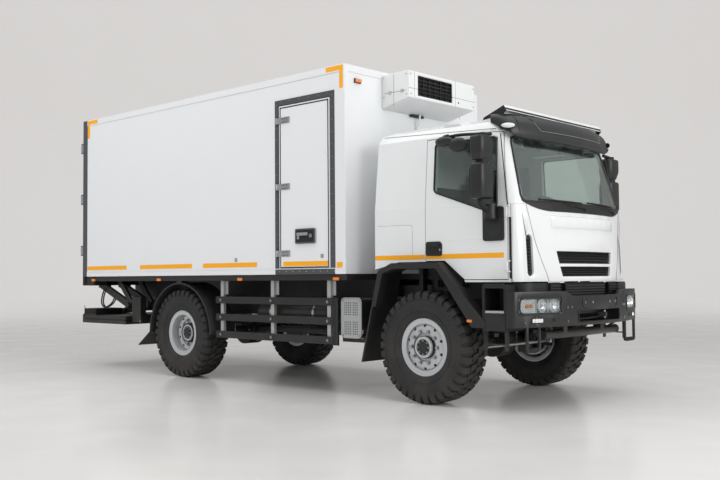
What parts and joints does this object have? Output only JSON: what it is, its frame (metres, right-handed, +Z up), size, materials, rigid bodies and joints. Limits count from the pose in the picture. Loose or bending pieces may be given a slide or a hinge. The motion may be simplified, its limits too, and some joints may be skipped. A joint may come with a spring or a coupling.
{
  "type": "refrigerated truck",
  "caption": "Two-axle off-road truck with a tilting cab, an insulated box body with side and rear doors, a front-mounted cooling unit and a folded tail lift.",
  "frame": {"origin": "on the ground under the middle of the overall length and width", "axes": "+X to the truck's front, +Y to its left, +Z up"},
  "size_m": [8.19, 2.87, 3.7298],
  "materials": {
    "cab_paint": "gloss white paint",
    "box_panel": "smooth white panel skin",
    "unit_white": "white moulded housing",
    "frame_grey": "mid-grey door frames",
    "steel_trim": "stainless hinges and lock bars",
    "chassis_black": "satin black chassis paint",
    "bumper_black": "satin black pressed steel",
    "black_plastic": "grained black moulding",
    "dark_trim": "matt black mesh and trim",
    "guard_grey": "dark grey coated rails",
    "cab_lining": "dark grey lining",
    "seat_cloth": "dark woven cloth",
    "floor_aluminium": "worn plate",
    "silver_sheet": "satin sheet",
    "cast_grey": "painted casting",
    "rim_silver": "silver-grey paint",
    "tyre_rubber": "matt black rubber",
    "lift_steel": "dark coated steel",
    "lamp_clear": "clear ribbed lens",
    "lamp_amber": "amber and red lenses",
    "cab_glass": "grey-green tinted glass"
  },
  "bodies": {
    "chassis": {"axles": "chassis_black", "box_floor": "floor_aluminium", "box_roof": "box_panel", "box_side_walls": "box_panel", "box_subframe": "chassis_black", "box_wall_front": "box_panel", "bumper": "bumper_black", "cooling_grille": "dark_trim", "cooling_unit": "unit_white", "door_frames": "frame_grey", "engine": "cast_grey", "exhaust_shield": "silver_sheet", "frame_rails": "chassis_black", "fuel_tank": "silver_sheet", "gearbox_and_shafts": "cast_grey", "headlamps": "lamp_clear", "lamps": "lamp_amber", "leaf_springs": "chassis_black", "mudguards": "black_plastic", "side_guards": "guard_grey", "step_treads": "silver_sheet", "tanks_and_silencer": "chassis_black"},
    "cab": {"cab_shell": "cab_paint", "front_panel": "cab_paint", "front_vents": "dark_trim", "windscreen": "cab_glass", "cab_floor": "cab_lining", "dashboard": "cab_lining", "steering_wheel": "dark_trim", "seats": "seat_cloth", "sun_visor": "black_plastic", "roof_deflector": "cab_paint"},
    "cab_door_right_body": {"cab_door_right": "cab_paint", "door_glass_right": "cab_glass", "door_mirrors_right": "black_plastic"},
    "cab_door_left_body": {"cab_door_left": "cab_paint", "door_glass_left": "cab_glass", "door_mirrors_left": "black_plastic"},
    "side_door_body": {"side_door": "box_panel", "side_door_fittings": "steel_trim"},
    "rear_door_right_body": {"rear_door_right": "box_panel", "rear_door_fittings_right": "steel_trim"},
    "rear_door_left_body": {"rear_door_left": "box_panel", "rear_door_fittings_left": "steel_trim"},
    "steering_right": {"knuckle_right": "chassis_black"},
    "steering_left": {"knuckle_left": "chassis_black"},
    "track_rod": {"tie_rod": "silver_sheet"},
    "wheel_front_right": {"rim_front_right": "rim_silver", "tyre_front_right": "tyre_rubber"},
    "wheel_front_left": {"rim_front_left": "rim_silver", "tyre_front_left": "tyre_rubber"},
    "wheel_rear_right": {"rim_rear_right": "rim_silver", "tyre_rear_right": "tyre_rubber"},
    "wheel_rear_left": {"rim_rear_left": "rim_silver", "tyre_rear_left": "tyre_rubber"},
    "lift_arm_pair": {"lift_arms": "lift_steel"},
    "lift_deck": {"lift_platform": "lift_steel"}
  },
  "joints": [
    {"name": "cab_tilt", "type": "hinge", "parent": "chassis", "child": "cab", "pos_m": [3.9, 0, 1.05], "axis": [0, 1, 0], "range_deg": [0, 50]},
    {"name": "cab_door_right_hinge", "type": "hinge", "parent": "cab", "child": "cab_door_right_body", "pos_m": [3.687, -1.127, 1.7], "axis": [0, 0, 1], "range_deg": [0, 70]},
    {"name": "cab_door_left_hinge", "type": "hinge", "parent": "cab", "child": "cab_door_left_body", "pos_m": [3.687, 1.127, 1.7], "axis": [0, 0, -1], "range_deg": [0, 70]},
    {"name": "side_door_hinge", "type": "hinge", "parent": "chassis", "child": "side_door_body", "pos_m": [0.538, -1.293, 2.4], "axis": [0, 0, -1], "range_deg": [0, 175]},
    {"name": "rear_door_right_hinge", "type": "hinge", "parent": "chassis", "child": "rear_door_right_body", "pos_m": [-3.91, -1.265, 2.5], "axis": [0, 0, 1], "range_deg": [0, 265]},
    {"name": "rear_door_left_hinge", "type": "hinge", "parent": "chassis", "child": "rear_door_left_body", "pos_m": [-3.91, 1.265, 2.5], "axis": [0, 0, -1], "range_deg": [0, 265]},
    {"name": "steer_right", "type": "hinge", "parent": "chassis", "child": "steering_right", "pos_m": [2.695, -0.8, 0.59], "axis": [0, 0, 1], "range_deg": [-28, 28]},
    {"name": "steer_left", "type": "hinge", "parent": "chassis", "child": "steering_left", "pos_m": [2.695, 0.8, 0.59], "axis": [0, 0, 1], "range_deg": [-28, 28]},
    {"name": "track_rod_pivot", "type": "hinge", "parent": "steering_right", "child": "track_rod", "pos_m": [2.995, -0.8, 0.56], "axis": [0, 0, 1], "range_deg": [-28, 28]},
    {"name": "front_right_spin", "type": "hinge", "parent": "steering_right", "child": "wheel_front_right", "pos_m": [2.695, -1.05, 0.59], "axis": [0, 1, 0], "continuous": true},
    {"name": "front_left_spin", "type": "hinge", "parent": "steering_left", "child": "wheel_front_left", "pos_m": [2.695, 1.05, 0.59], "axis": [0, 1, 0], "continuous": true},
    {"name": "rear_right_spin", "type": "hinge", "parent": "chassis", "child": "wheel_rear_right", "pos_m": [-1.455, -1.05, 0.59], "axis": [0, 1, 0], "continuous": true},
    {"name": "rear_left_spin", "type": "hinge", "parent": "chassis", "child": "wheel_rear_left", "pos_m": [-1.455, 1.05, 0.59], "axis": [0, 1, 0], "continuous": true},
    {"name": "lift_lower", "type": "hinge", "parent": "chassis", "child": "lift_arm_pair", "pos_m": [-2.935, 0, 0.96], "axis": [0, -1, 0], "range_deg": [0, 46]},
    {"name": "deck_level", "type": "hinge", "parent": "lift_arm_pair", "child": "lift_deck", "pos_m": [-3.835, 0, 0.83], "axis": [0, -1, 0], "range_deg": [-46, 0]}
  ],
  "couplings": [
    {"joint": "steer_left", "follows": "steer_right", "ratio": 1},
    {"joint": "track_rod_pivot", "follows": "steer_right", "ratio": -1},
    {"joint": "deck_level", "follows": "lift_lower", "ratio": -1}
  ]
}
